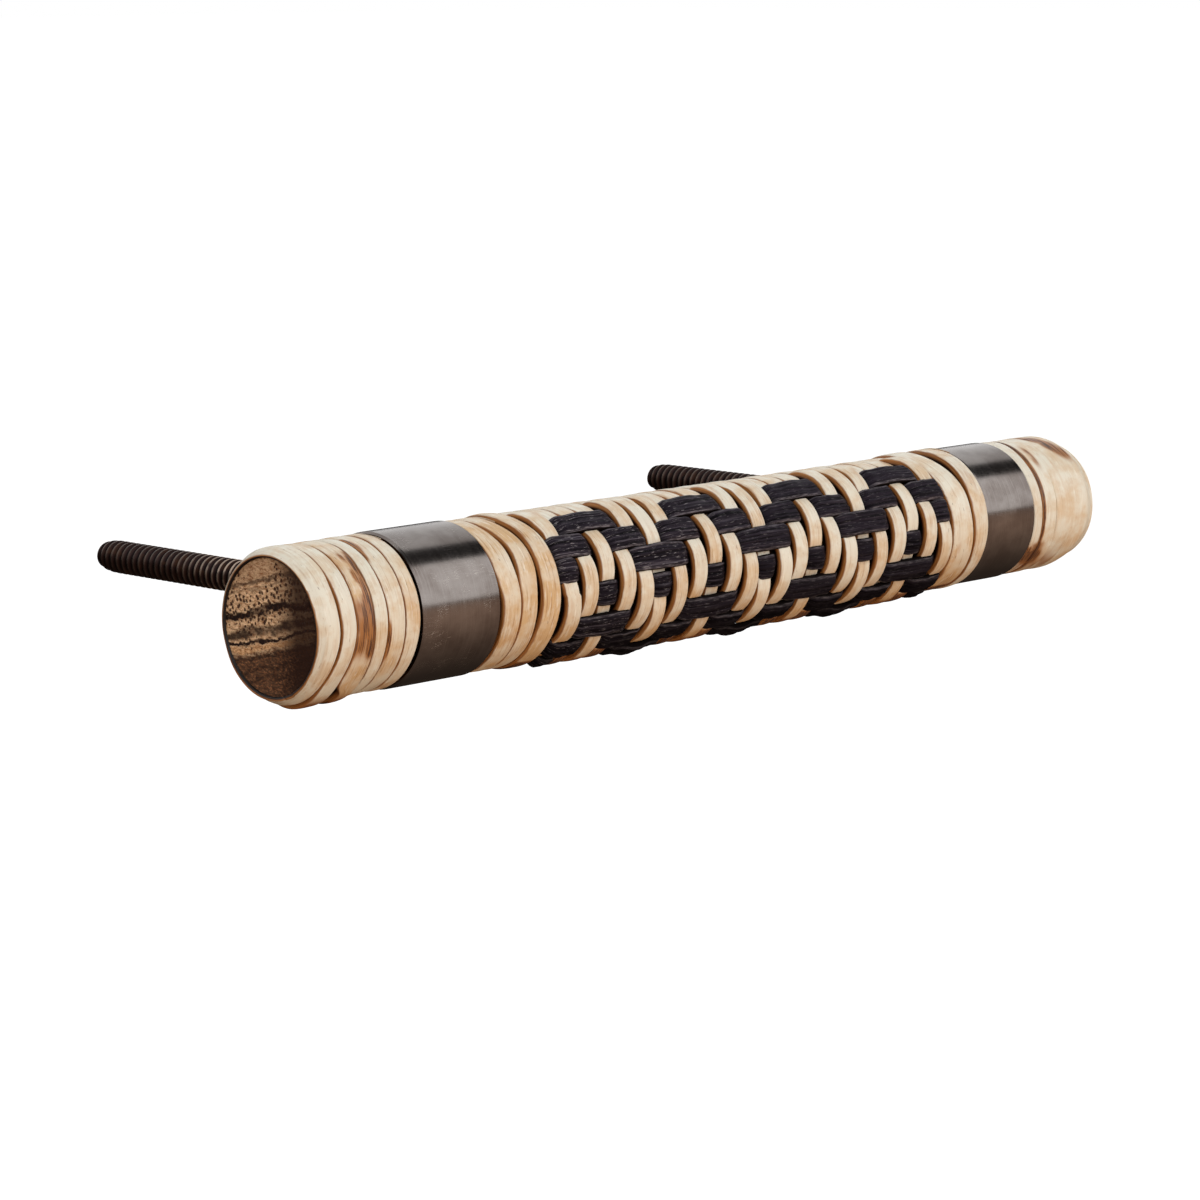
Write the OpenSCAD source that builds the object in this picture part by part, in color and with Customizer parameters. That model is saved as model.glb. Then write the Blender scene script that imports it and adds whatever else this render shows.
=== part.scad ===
// Furniture pull bound in split cane.
// A round wooden core carries two dark metal ferrules, one over each fixing
// point. Cane is wound round the core beside and between the ferrules, and
// seven dyed strips are woven lengthways through the front of the middle
// winding. Two threaded studs leave the backs of the ferrules at right angles.
//
// Lengths are millimetres. X runs along the handle, -Y faces the hand, +Y is
// the way the studs point and Z is up. The origin lies midway between the two
// studs, on the plane that the back of the handle rests against.
// Angles round the handle count from the front (0) over the top (90).

/* [Fixing] */

// Distance between the two stud centres
stud_spacing = 96; // [64:1:320]
// Outside diameter of the stud thread
stud_d = 4; // [3:0.5:6]
// Root diameter of the thread, where it is screwed into the handle
stud_root_d = 3.1; // [2:0.1:5]
// Length of each stud past the mounting plane
stud_reach = 46.0; // [15:0.5:80]
// Length of each stud inside the handle
stud_bury = 12.6; // [6:0.1:14]
// Clearance between a stud's root and the hole it sits in
hole_gap = 0.05; // [0:0.01:0.3]

/* [Core] */

// Diameter of the wooden core
core_d = 15.2; // [10:0.1:30]
// Handle length to the left of the middle
left_len = 68.5; // [50:0.1:200]
// Handle length to the right of the middle
right_len = 66.2; // [50:0.1:200]
// Depth of the wood below each cane rim
face_recess = 0.25; // [0:0.05:2]
// Height of the core axis in front of the mounting plane
axis_drop = 9.1; // [9:0.1:20]

/* [Ferrules] */

// Width of the left ferrule
left_ferrule_w = 11.6; // [6:0.1:20]
// Width of the right ferrule
right_ferrule_w = 9.6; // [6:0.1:20]
// Outside diameter of both ferrules
ferrule_d = 17.7; // [16:0.1:30]
// Chamfer on the ferrule edges
ferrule_chamfer = 0.25; // [0:0.05:1]

/* [Cane] */

// Thickness of the natural cane
cane_t = 1.01; // [0.5:0.01:2]
// Cane width where the turns lie side by side
cane_w = 2.88; // [1.5:0.01:5]
// Cane width where it passes between the dyed strips
woven_w = 2.3; // [1.5:0.01:5]
// Advance of the middle winding per turn
pitch = 2.989; // [2:0.001:6]
// Turns in the left end winding
left_end_turns = 6; // [2:1:12]
// Turns in the right end winding
right_end_turns = 5; // [2:1:12]
// Turns in the left binding
left_binding_turns = 2; // [1:1:4]
// Extra thickness of the single turn of the right binding
bulge = 0.35; // [0:0.05:1]
// Roundover at the two ends of the handle
end_round = 0.8; // [0:0.05:1]

/* [Weave] */

// Number of dyed strips
strips = 7; // [1:1:7]
// Angle of the top strip round the handle
top_row = 57; // [0:1:90]
// Angle between neighbouring strips
row_step = 20.8; // [18:0.1:30]
// Width of a dyed strip
strip_w = 2.2; // [1:0.05:4]
// Thickness of a dyed strip
strip_t = 0.76; // [0.3:0.01:1.5]
// Turns of the pattern between the two borders
woven_turns = 23; // [6:1:60]

/* [Hidden] */

// Which strip shows over which turn: 1 is the dyed strip on top, 0 the cane.
// Four rows repeat down the front and six turns repeat along the handle,
// which gives the run of linked diamonds.
WEAVE = [[0, 1, 1, 1, 0, 0],
         [1, 1, 0, 1, 1, 0],
         [1, 0, 0, 0, 1, 1],
         [0, 0, 1, 0, 0, 1]];

stud_r = stud_d / 2;
root_r = stud_root_d / 2;
hole_r = root_r + hole_gap;
core_r = core_d / 2;
axis_y = -axis_drop;
ferrule_r = ferrule_d / 2;
left_x = -stud_spacing / 2;
right_x = stud_spacing / 2;
left_band_x0 = left_x - left_ferrule_w / 2;
left_band_x1 = left_x + left_ferrule_w / 2;
right_band_x0 = right_x - right_ferrule_w / 2;
right_band_x1 = right_x + right_ferrule_w / 2;
joint_gap = 0.05;

// Cane lies in flat chords, so its inner corners stand just off the core.
lay_r = core_r + 0.09;
cane_r = lay_r + cane_t;
under_r = lay_r + strip_t;
lift = strip_t + 0.04;
strip_lift = cane_t + 0.03;
plain_steps = 20;

// Spread of one row either side of its own centre line
strip_half = asin(strip_w / 2 / lay_r);
row_half = strip_half + 0.3;
back_steps = 7;

weave_len = pitch * (woven_turns - 1);
first_turn_x = -31.25;
weave_x0 = first_turn_x - pitch * 1.5;
weave_x1 = first_turn_x + weave_len + pitch * 1.9;

// A point at distance x along the handle, angle a round it and radius r
function round_point(x, a, r) = [x, axis_y - r * cos(a), r * sin(a)];

// Angle of the centre line of a row of the weave
function row_angle(i) = top_row - row_step * i;

// 1 where the dyed strip of row i shows over turn k, 0 where the cane shows
function strip_over(i, k) =
    k < 0 || k >= woven_turns ? 0 : WEAVE[i % 4][k % 6];

// Position of turn k of the middle winding at angle a
function turn_x(k, a) = first_turn_x + pitch * k - pitch * a / 360;

// Sweep of a flat strip through stations [x, angle, inner r, outer r, half width]
module flat_strip(st) {
    n = len(st);
    pts = [for (s = st) each [
        round_point(s[0] - s[4], s[1], s[2]),
        round_point(s[0] + s[4], s[1], s[2]),
        round_point(s[0] + s[4], s[1], s[3]),
        round_point(s[0] - s[4], s[1], s[3])]];
    sides = [for (i = [0 : n - 2], j = [0 : 3])
        let (a = 4 * i + j, b = 4 * i + (j + 1) % 4)
        each [[a, b + 4, b], [a, a + 4, b + 4]]];
    polyhedron(points = pts,
               faces = concat([[0, 1, 2, 3]], sides,
                              [[4 * n - 1, 4 * n - 2, 4 * n - 3, 4 * n - 4]]));
}

// Solid of revolution round the handle axis from x0 to x1, eased at one end
module barrel(x0, x1, r, ease0 = 0, ease1 = 0) {
    long = 1.3;
    translate([x0, axis_y, 0])
        rotate([0, 90, 0])
            rotate_extrude($fn = 96)
                polygon([[0, 0], [r - ease0, 0], [r, ease0 > 0 ? long : 0],
                         [r, x1 - x0 - (ease1 > 0 ? long : 0)],
                         [r - ease1, x1 - x0], [0, x1 - x0]]);
}

// Round hole or rod along Y at a stud position
module stud_bar(x, y0, y1, r) {
    translate([x, y0, 0])
        rotate([-90, 0, 0])
            cylinder(h = y1 - y0, r = r, $fn = 48);
}

// Plain winding between two faces, turn beside turn
module winding(x0, x1, turns, r_out, ease0 = 0, ease1 = 0) {
    step = (x1 - x0) / turns;
    half = (step - (cane_w < pitch ? pitch - cane_w : 0.1)) / 2;
    n = (turns + 2) * plain_steps;
    intersection() {
        flat_strip([for (i = [0 : n])
            let (s = i / plain_steps - 1)
            [x0 + step * s, -360 * s, lay_r, r_out, half]]);
        barrel(x0, x1, r_out + 0.01, ease0, ease1);
    }
}

// One stud: root diameter inside the handle, full thread diameter outside,
// and a tip eased so that a nut starts easily
module stud(x) {
    tip = 1.0;
    shoulder = -0.05;
    stud_bar(x, -stud_bury, shoulder, root_r);
    stud_bar(x, shoulder, stud_reach - tip, stud_r);
    translate([x, stud_reach - tip, 0])
        rotate([-90, 0, 0])
            cylinder(h = tip, r1 = stud_r, r2 = stud_r - tip * 0.8, $fn = 48);
}

// Ring of metal bored through at the back for the stud
module ferrule(x0, w) {
    c = ferrule_chamfer;
    bore = core_r + 0.03;
    difference() {
        translate([x0, axis_y, 0])
            rotate([0, 90, 0])
                rotate_extrude($fn = 96)
                    polygon([[bore, 0], [ferrule_r - c, 0], [ferrule_r, c],
                             [ferrule_r, w - c], [ferrule_r - c, w],
                             [bore, w]]);
        stud_bar(x0 + w / 2, axis_y, 1, hole_r);
    }
}

// Dyed strip of row i, dipping under the cane and rising over it
module black_strip(i) {
    a = row_angle(i);
    near = woven_w / 2 + 0.05;
    low = [lay_r, under_r];
    high = [lay_r + strip_lift, under_r + strip_lift];
    body = [for (k = [0 : woven_turns - 1], side = [-1, 1])
        let (r = strip_over(i, k) == 1 ? high : low)
        [turn_x(k, a) + side * near, r]];
    path = concat([[weave_x0 + 0.4, low], [turn_x(-1, a) + near, low]],
                  body,
                  [[turn_x(woven_turns, a) - near, low],
                   [weave_x1 - 0.7, low]]);
    n = len(path);
    pts = [for (p = path) each [
        round_point(p[0], a - strip_half, p[1][0]),
        round_point(p[0], a + strip_half, p[1][0]),
        round_point(p[0], a + strip_half, p[1][1]),
        round_point(p[0], a - strip_half, p[1][1])]];
    sides = [for (s = [0 : n - 2], j = [0 : 3])
        let (p = 4 * s + j, q = 4 * s + (j + 1) % 4)
        each [[p, q + 4, q], [p, p + 4, q + 4]]];
    color([0.13, 0.12, 0.14])
        polyhedron(points = pts,
                   faces = concat([[0, 1, 2, 3]], sides,
                                  [[4 * n - 1, 4 * n - 2,
                                    4 * n - 3, 4 * n - 4]]));
}

// Angles of one whole turn of the middle winding with the row at each:
// plain at the back, two stations to a row on the front
function turn_stations() = let (
    top = row_angle(0) + row_half,
    low = row_angle(strips - 1) - row_half)
    concat(
        [for (i = [0 : back_steps - 1])
            [180 - (180 - top) * i / back_steps, -1]],
        [for (i = [0 : strips - 1], side = [1, -1])
            [row_angle(i) + side * row_half, i]],
        [for (i = [1 : back_steps - 1])
            [low - (180 + low) * i / back_steps, -1]]);

module core_rod() {
    x0 = -left_len + face_recess;
    x1 = right_len - face_recess;
    depth = stud_bury + 0.4;
    color([0.58, 0.42, 0.27])
        difference() {
            barrel(x0, x1, core_r);
            stud_bar(left_x, -depth, 1, hole_r);
            stud_bar(right_x, -depth, 1, hole_r);
        }
}

module left_stud() {
    color([0.20, 0.15, 0.12]) stud(left_x);
}

module right_stud() {
    color([0.20, 0.15, 0.12]) stud(right_x);
}

module left_ferrule() {
    color([0.22, 0.18, 0.15]) ferrule(left_band_x0, left_ferrule_w);
}

module right_ferrule() {
    color([0.22, 0.18, 0.15]) ferrule(right_band_x0, right_ferrule_w);
}

module left_end_winding() {
    color([0.87, 0.78, 0.65])
        winding(-left_len, left_band_x0 - joint_gap, left_end_turns,
                cane_r, end_round, 0);
}

module left_binding() {
    color([0.87, 0.78, 0.65])
        winding(left_band_x1 + joint_gap, weave_x0 - joint_gap,
                left_binding_turns, cane_r);
}

module centre_winding() {
    turn = turn_stations();
    color([0.87, 0.78, 0.65])
        intersection() {
            flat_strip([for (k = [-2 : woven_turns + 1], s = turn)
                let (front = s[1] >= 0,
                     up = front && strip_over(max(s[1], 0), k) == 0,
                     r = lay_r + (up ? lift : 0))
                [turn_x(k, s[0]), s[0], r, r + cane_t,
                 (front ? woven_w : cane_w) / 2]]);
            barrel(weave_x0, weave_x1, cane_r + lift + 1);
        }
}

module right_binding() {
    color([0.87, 0.78, 0.65])
        winding(weave_x1 + joint_gap, right_band_x0 - joint_gap, 1,
                cane_r + bulge);
}

module right_end_winding() {
    color([0.87, 0.78, 0.65])
        winding(right_band_x1 + joint_gap, right_len, right_end_turns,
                cane_r, 0, end_round);
}

module black_strip_1() {
    black_strip(0);
}

module black_strip_2() {
    black_strip(1);
}

module black_strip_3() {
    black_strip(2);
}

module black_strip_4() {
    black_strip(3);
}

module black_strip_5() {
    black_strip(4);
}

module black_strip_6() {
    black_strip(5);
}

module black_strip_7() {
    black_strip(6);
}

core_rod();
left_stud();
right_stud();
left_ferrule();
right_ferrule();
left_end_winding();
left_binding();
centre_winding();
right_binding();
right_end_winding();
black_strip_1();
black_strip_2();
black_strip_3();
black_strip_4();
black_strip_5();
black_strip_6();
black_strip_7();
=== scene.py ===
"""Looks of the cane-bound furniture pull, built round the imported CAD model.

Lengths are millimetres until a mesh is made. Angles round the handle count from the
front (0) over the top (90), in degrees.
"""

import math

import bmesh
import bpy
import numpy as np
from mathutils import Matrix, Vector

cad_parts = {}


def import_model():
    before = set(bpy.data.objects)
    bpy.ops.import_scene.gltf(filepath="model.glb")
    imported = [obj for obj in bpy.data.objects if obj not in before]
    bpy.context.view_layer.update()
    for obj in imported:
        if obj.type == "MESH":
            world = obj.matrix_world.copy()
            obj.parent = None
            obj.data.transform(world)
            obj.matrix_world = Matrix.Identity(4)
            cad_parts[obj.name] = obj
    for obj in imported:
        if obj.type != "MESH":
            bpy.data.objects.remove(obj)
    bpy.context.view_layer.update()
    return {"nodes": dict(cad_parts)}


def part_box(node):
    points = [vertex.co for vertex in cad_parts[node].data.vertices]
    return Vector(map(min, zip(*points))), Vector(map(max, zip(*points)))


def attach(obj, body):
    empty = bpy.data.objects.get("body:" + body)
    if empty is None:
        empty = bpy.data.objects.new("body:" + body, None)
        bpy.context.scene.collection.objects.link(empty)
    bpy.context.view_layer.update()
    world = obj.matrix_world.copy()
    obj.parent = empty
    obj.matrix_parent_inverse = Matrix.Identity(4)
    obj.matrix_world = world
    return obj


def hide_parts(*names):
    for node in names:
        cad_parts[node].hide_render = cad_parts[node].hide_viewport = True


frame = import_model()

MM = 0.001


def span(node, axis):
    """Lowest and highest coordinate of a CAD node along an axis, in mm."""
    lo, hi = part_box(node)
    return lo[axis] / MM, hi[axis] / MM


# ---- sizes taken from the frame ------------------------------------------------------

CORE_R = (span("core_rod", 2)[1] - span("core_rod", 2)[0]) / 2
AXIS_Y = sum(span("core_rod", 1)) / 2
LEFT_BAND = span("left_ferrule", 0)
RIGHT_BAND = span("right_ferrule", 0)
LEFT_END = span("left_end_winding", 0)[0]
RIGHT_END = span("right_end_winding", 0)[1]
WEAVE_SPAN = span("centre_winding", 0)
STUD_TIP = span("left_stud", 1)[1]
STUD_X = {side: sum(span(side + "_stud", 0)) / 2 for side in ("left", "right")}
STUD_R = (span("left_stud", 2)[1] - span("left_stud", 2)[0]) / 2

# ---- cane -----------------------------------------------------------------------------

LAY_R = CORE_R + 0.06  # inner face of cane that lies on the core
CANE_T = 1.03  # its thickness
CANE_W = 2.6  # usual width, for the grain's scale across a strand
BODY_R = LAY_R + CANE_T
WOVEN_W = 2.12  # cane between the dyed strips
TURN_STEP = 3.0  # degrees between stations round the handle
WEAVE_STEP = 1.95  # the same where the cane is woven
BACK_GAP = 0.10  # between neighbouring turns at the back
PLAIN_GAP = 0.24  # the same in the middle winding

# ---- weave ----------------------------------------------------------------------------

PITCH = 2.989  # of the cane's turns along the handle
FIRST_TURN = -31.25  # middle of the first patterned turn at the front
PATTERN_TURNS = 23
ROW_ANGLES = (55.5, 36.0, 17.8, -3.2, -27.5, -48.0, -68.0)  # middles of the dyed strips
# for each row, over which of six turns its strip shows; the rows repeat after four
WEAVE = ((0, 1, 1, 1, 0, 0), (1, 1, 0, 1, 1, 0), (1, 0, 0, 0, 1, 1), (0, 0, 1, 0, 0, 1))
STRIP_W = 3.0  # a dyed strip's width and thickness
STRIP_T = 0.84
STRIP_MID_R = BODY_R + 0.4  # where a strip's width is measured
CANE_LIFT = 0.80  # how far cane rises to pass over a dyed strip
STRIP_LIFT = 1.02  # how far a dyed strip rises to pass over cane
TWO_TURN_BOW = 1.12  # its lift between two turns that it passes over


# ---- studs ----------------------------------------------------------------------------

THREAD_PITCH = 1.06
THREAD_DEPTH = 0.46
STUD_START = -4.0  # inside the core
TIP_DOME = 3.2  # length over which the tip is rounded
TIP_R = 1.15


# ---- small numeric helpers ------------------------------------------------------------


def smooth(t):
    """Smooth step of t from 0 to 1."""
    t = np.clip(t, 0.0, 1.0)
    return t * t * (3 - 2 * t)


def bell(x, middle, half):
    """1 at the middle, easing to 0 at half on either side."""
    return smooth(1 - np.abs(np.asarray(x, float) - middle) / half)


class Grain:
    """Smooth seeded noise over one or two coordinates, from -1 to 1."""

    def __init__(self, seed):
        self.table = np.random.default_rng(seed).uniform(-1, 1, (257, 257))

    def __call__(self, u, v=0.0):
        u, v = np.broadcast_arrays(np.asarray(u, float), np.asarray(v, float))
        iu, iv = np.floor(u).astype(int), np.floor(v).astype(int)
        fu, fv = smooth(u - iu), smooth(v - iv)
        a, b = iu % 256, iv % 256
        t = self.table
        low = t[a, b] * (1 - fu) + t[a + 1, b] * fu
        high = t[a, b + 1] * (1 - fu) + t[a + 1, b + 1] * fu
        return low * (1 - fv) + high * fv


def place(x, angle, r):
    """Points at x along the handle, angle round it and radius r, in mm."""
    a = np.radians(angle)
    return np.stack([x + 0 * a, AXIS_Y - r * np.cos(a), r * np.sin(a)], -1)


# ---- mesh helpers ---------------------------------------------------------------------


def grid_mesh(name, points, along, across, marks, material, nodes):
    """A tube of stations, each a closed ring of points, capped at both ends.

    along and across are the strip's own coordinates in mm, stored as the UV map
    "lay". marks are further numbers stored at each point for the material.
    """
    n, m = points.shape[:2]
    ring = np.arange(m)
    nxt = (ring + 1) % m
    quads = []
    for i in range(n - 1):
        a, b = i * m, (i + 1) * m
        quads += np.stack([a + ring, b + ring, b + nxt, a + nxt], -1).tolist()
    faces = quads + [list(range(m)), list(range((n - 1) * m, n * m))[::-1]]
    mesh = bpy.data.meshes.new(name)
    mesh.from_pydata((points.reshape(-1, 3) * MM).tolist(), [], faces)
    for key, values in marks.items():
        layer = mesh.attributes.new(key, "FLOAT", "POINT")
        layer.data.foreach_set("value", np.ascontiguousarray(values, np.float32).ravel())
    uv = mesh.uv_layers.new(name="lay")
    index = np.empty(len(mesh.loops), int)
    mesh.loops.foreach_get("vertex_index", index)
    flat = np.stack([along.ravel(), across.ravel()], -1)[index]
    uv.data.foreach_set("uv", flat.astype(np.float32).ravel())
    mesh.polygons.foreach_set("use_smooth", [True] * len(mesh.polygons))
    mesh.update()
    piece = bpy.data.objects.new(name, mesh)
    bpy.context.collection.objects.link(piece)
    mesh.materials.append(material)
    fix_normals(mesh)
    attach(piece, "root")
    if nodes:
        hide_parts(*nodes)
    return piece


def fix_normals(mesh):
    """Turns every face outward."""
    b = bmesh.new()
    b.from_mesh(mesh)
    bmesh.ops.recalc_face_normals(b, faces=b.faces)
    b.to_mesh(mesh)
    b.free()


def cane_section(crown=0.06, corner=0.15):
    """Outline of split cane: across -0.5..0.5, height 0..1, how far it is a side."""
    side = [(-0.5, 0.0, 1.0), (-0.5, 0.35, 0.58), (-0.5, 0.68, 0.44)]
    top = []
    for u in (-0.496, -0.486, -0.470, -0.445, -0.40, -0.32, -0.18, 0.0):
        fall = crown * (2 * abs(u)) ** 2.4
        nick = corner * max(0.0, (abs(u) - 0.44) / 0.06) ** 2
        top.append((u, 1 - fall - nick, 0.40 if abs(u) > 0.49 else 0.0))
    half = side + top
    return np.array(half + [(-u, v, s) for u, v, s in half[-2::-1]])


SECTION = cane_section()


def lay_cane(name, tau, left, right, base, node, seed, tan, stain=None, round_end=None,
             merge=0.0):
    """A flat strand of cane wound round the handle.

    tau counts turns, and a whole number of them is at the front. left and right are
    its edges and base the radius of its inner face, in mm. tan and stain give its
    tint, and in the middle winding both carry painted shade toward the bottom;
    elsewhere the second marks real stains. round_end thins it where the handle is
    rounded over, and merge (0 to 1) smooths its edges away where neighbouring turns close up.
    """
    grain = Grain(seed)
    angle = -360.0 * (tau - np.round(tau))
    width = right - left
    middle = (left + right) / 2
    arc = np.hypot(np.diff(middle), np.diff(tau) * 2 * math.pi * BODY_R)
    arc = np.concatenate([[0], np.cumsum(arc)])
    u, v, side = SECTION[:, 0], SECTION[:, 1], SECTION[:, 2]
    top = (v > 0.5)[None]
    merge = (merge * np.ones_like(tau))[:, None]
    v = v[None] + merge * np.where(top, 1 - v[None], 0.0)
    x = middle[:, None] + u[None] * width[:, None]
    wander = 0.045 * grain(arc[:, None] / 2.6, 3 + np.sign(u)[None] * 2)
    x = x + wander * (np.abs(u)[None] > 0.3)
    thick = CANE_T * (1 + 0.05 * grain(arc / 5.0, 60))[:, None]
    if round_end:
        thick = thick - round_end(x, angle[:, None])
    tilt = 0.10 * grain(arc / 9.0, 40)[:, None] * u[None]
    wave = 0.014 * grain(arc[:, None] / 4.0, u[None] * 9 + 80)
    r = base[:, None] + v * thick + np.where(top, tilt + wave, 0.0)
    pts = place(x, angle[:, None], r)
    steps = np.hypot(np.diff(u) * CANE_W, np.diff(SECTION[:, 1]))
    across = np.concatenate([[0], np.cumsum(steps)])
    turn = np.round(tau)[:, None] + 0 * r
    zero = 0.0 * r
    uneven = 0.22 * grain(arc / 7.0, 20)[:, None]
    marks = {
        "edge": side[None] * (1 - top * merge) + zero,
        "rim": np.abs(2 * u)[None] * (1 - merge) + zero,
        "tan": np.clip(tan(turn, angle[:, None]) + uneven + zero, 0, 1),
        "stain": np.clip(stain(turn, angle[:, None], u[None]) + zero, 0, 1) if stain else zero,
    }
    return grid_mesh(name, pts, arc[:, None] + zero, across[None] + zero, marks,
                     CANE, [node])


# ---- node helpers ---------------------------------------------------------------------


def add_node(tree, kind, **settings):
    node = tree.nodes.new(kind)
    for key, value in settings.items():
        setattr(node, key, value)
    return node


def feed_socket(tree, socket, value):
    """Links a socket to another, or sets its value."""
    if isinstance(value, bpy.types.NodeSocket):
        tree.links.new(value, socket)
    elif isinstance(value, tuple) and len(value) == 3 and socket.type == "RGBA":
        socket.default_value = (*value, 1.0)
    else:
        socket.default_value = value


class Nodes:
    """Short ways to add shader nodes to one material."""

    def __init__(self, name):
        self.material = bpy.data.materials.new(name)
        self.material.use_nodes = True
        self.tree = self.material.node_tree
        self.shader = self.tree.nodes["Principled BSDF"]

    def add(self, kind, **settings):
        return add_node(self.tree, kind, **settings)

    def feed(self, socket, value):
        feed_socket(self.tree, socket, value)

    def math(self, op, a, b=0.0, clamp=False):
        node = self.add("ShaderNodeMath", operation=op, use_clamp=clamp)
        for socket, value in zip(node.inputs, (a, b)):
            self.feed(socket, value)
        return node.outputs[0]

    def step(self, value, low, high, out_low=0.0, out_high=1.0):
        node = self.add("ShaderNodeMapRange", interpolation_type="SMOOTHSTEP")
        for key, v in zip(("Value", "From Min", "From Max", "To Min", "To Max"),
                          (value, low, high, out_low, out_high)):
            self.feed(node.inputs[key], v)
        return node.outputs["Result"]

    def mix(self, factor, a, b, blend="MIX"):
        node = self.add("ShaderNodeMix", data_type="RGBA", blend_type=blend)
        self.feed(node.inputs["Factor"], factor)
        self.feed(node.inputs["A"], a)
        self.feed(node.inputs["B"], b)
        return node.outputs["Result"]

    def mark(self, name):
        return self.add("ShaderNodeAttribute", attribute_name=name).outputs["Fac"]

    def lay(self, along=1.0, across=1.0, shift=0.0):
        """The strip's own coordinates, stretched."""
        uv = self.add("ShaderNodeUVMap", uv_map="lay").outputs["UV"]
        return self.stretch(uv, (along, across, 1.0), (shift, shift, shift))

    def place(self, scale=(1.0, 1.0, 1.0), shift=(0.0, 0.0, 0.0)):
        """Object coordinates in millimetres, stretched."""
        where = self.add("ShaderNodeTexCoord").outputs["Object"]
        return self.stretch(where, tuple(s / MM for s in scale), shift)

    def split(self, vector):
        """The three parts of a vector, by letter."""
        node = self.add("ShaderNodeSeparateXYZ")
        self.feed(node.inputs[0], vector)
        return node.outputs

    def stretch(self, vector, scale, shift):
        node = self.add("ShaderNodeMapping")
        self.feed(node.inputs["Vector"], vector)
        node.inputs["Scale"].default_value = scale
        node.inputs["Location"].default_value = shift
        return node.outputs["Vector"]

    def noise(self, vector, detail=2.0, rough=0.5, distort=0.0):
        node = self.add("ShaderNodeTexNoise")
        self.feed(node.inputs["Vector"], vector)
        for key, v in zip(("Scale", "Detail", "Roughness", "Distortion"),
                          (1.0, detail, rough, distort)):
            node.inputs[key].default_value = v
        return node.outputs["Fac"]

    def dots(self, vector, scale, random=1.0, space="3D"):
        """Distance to the nearest of a scatter of points."""
        node = self.add("ShaderNodeTexVoronoi", feature="F1", voronoi_dimensions=space)
        self.feed(node.inputs["Vector"], vector)
        node.inputs["Scale"].default_value = scale
        node.inputs["Randomness"].default_value = random
        return node.outputs["Distance"]

    def bump(self, height, strength, distance_mm):
        node = self.add("ShaderNodeBump")
        self.feed(node.inputs["Height"], height)
        node.inputs["Strength"].default_value = strength
        node.inputs["Distance"].default_value = distance_mm * MM
        return node.outputs["Normal"]

    def finish(self, **sockets):
        for key, value in sockets.items():
            self.feed(self.shader.inputs[key.replace("_", " ")], value)
        return self.material


# ---- materials ------------------------------------------------------------------------


def cane_material():
    n = Nodes("split_cane")
    fibre = n.noise(n.lay(0.20, 4.8), detail=4.0, rough=0.65)
    streak = n.noise(n.lay(0.09, 1.5, 30.0), detail=2.0)
    cloud = n.noise(n.place((0.30, 0.35, 0.35)), detail=4.0, rough=0.6)
    patch = n.noise(n.place((0.55, 0.22, 0.22), (5.0, 9.0, 2.0)), detail=3.0)
    # tan is the strand's own tone, and in the middle winding also painted warm shade toward the
    # bottom
    tint = n.math("ADD", n.mark("tan"), n.step(cloud, 0.35, 0.68, -0.25, 0.45), clamp=True)
    colour = n.mix(tint, (0.690, 0.645, 0.535), (0.575, 0.380, 0.195))
    colour = n.mix(n.step(streak, 0.52, 0.80, 0.0, 0.40), colour, (0.520, 0.310, 0.140))
    # the right end is smoother than the rest
    along = n.split(n.place())["X"]
    lively = n.step(along, RIGHT_BAND[1] + 1.6, RIGHT_BAND[1] + 2.6, 1.0, 0.35)
    lines = n.math("MULTIPLY", n.step(fibre, 0.54, 0.63), n.math("ADD", tint, 0.35))
    lines = n.math("MULTIPLY", lines, lively)
    colour = n.mix(n.math("MULTIPLY", lines, 0.52, clamp=True), colour, (0.330, 0.150, 0.050))
    patch = n.math("MULTIPLY", n.step(patch, 0.58, 0.76, 0.0, 0.42), lively)
    colour = n.mix(patch, colour, (0.470, 0.245, 0.100))
    pale = n.step(n.noise(n.lay(0.5, 3.0, 71.0), detail=3.0), 0.55, 0.72, 0.0, 0.5)
    colour = n.mix(pale, colour, (0.800, 0.765, 0.665))
    fleck = n.step(n.noise(n.lay(1.0, 5.0, 11.0), detail=2.0), 0.68, 0.74)
    fleck = n.math("MULTIPLY", fleck, lively)
    colour = n.mix(n.math("MULTIPLY", fleck, 0.6), colour, (0.140, 0.055, 0.018))
    # painted shade: a thin dark orange line along each strand's edges, where the top rounds off
    # into the gaps
    uneven = n.noise(n.lay(0.45, 0.6, 50.0), detail=3.0)
    rim = n.step(n.mark("rim"), n.step(uneven, 0.3, 0.7, 0.83, 0.96), 1.0, 0.0, 1.0)
    colour = n.mix(rim, colour, (0.230, 0.076, 0.016))
    # stain colours: real stains at the ends, and painted shade on the outer turns at the bottom of
    # the weave
    stain = n.mark("stain")
    colour = n.mix(n.step(stain, 0.0, 0.42), colour, (0.330, 0.130, 0.034))
    stain = n.math("MULTIPLY", stain, n.step(fibre, 0.42, 0.58, 0.25, 1.80))
    colour = n.mix(n.step(stain, 0.32, 0.85), colour, (0.060, 0.018, 0.005))
    side = n.mix(n.step(fibre, 0.35, 0.65), (0.260, 0.092, 0.021), (0.460, 0.195, 0.055))
    edge = n.mark("edge")
    colour = n.mix(n.step(edge, 0.05, 0.40), colour, side)
    # painted shade: the side walls darken to near black toward their base, down in the gaps
    colour = n.mix(n.step(edge, 0.45, 0.62), colour, (0.060, 0.018, 0.005))
    colour = n.mix(n.step(edge, 0.58, 0.80), colour, (0.006, 0.0018, 0.0008))
    rough = n.step(fibre, 0.30, 0.75, 0.34, 0.50)
    height = n.math("ADD", fibre, n.math("MULTIPLY", streak, 0.8))
    return n.finish(Base_Color=colour, Roughness=rough, Normal=n.bump(height, 0.75, 0.10))


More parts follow.
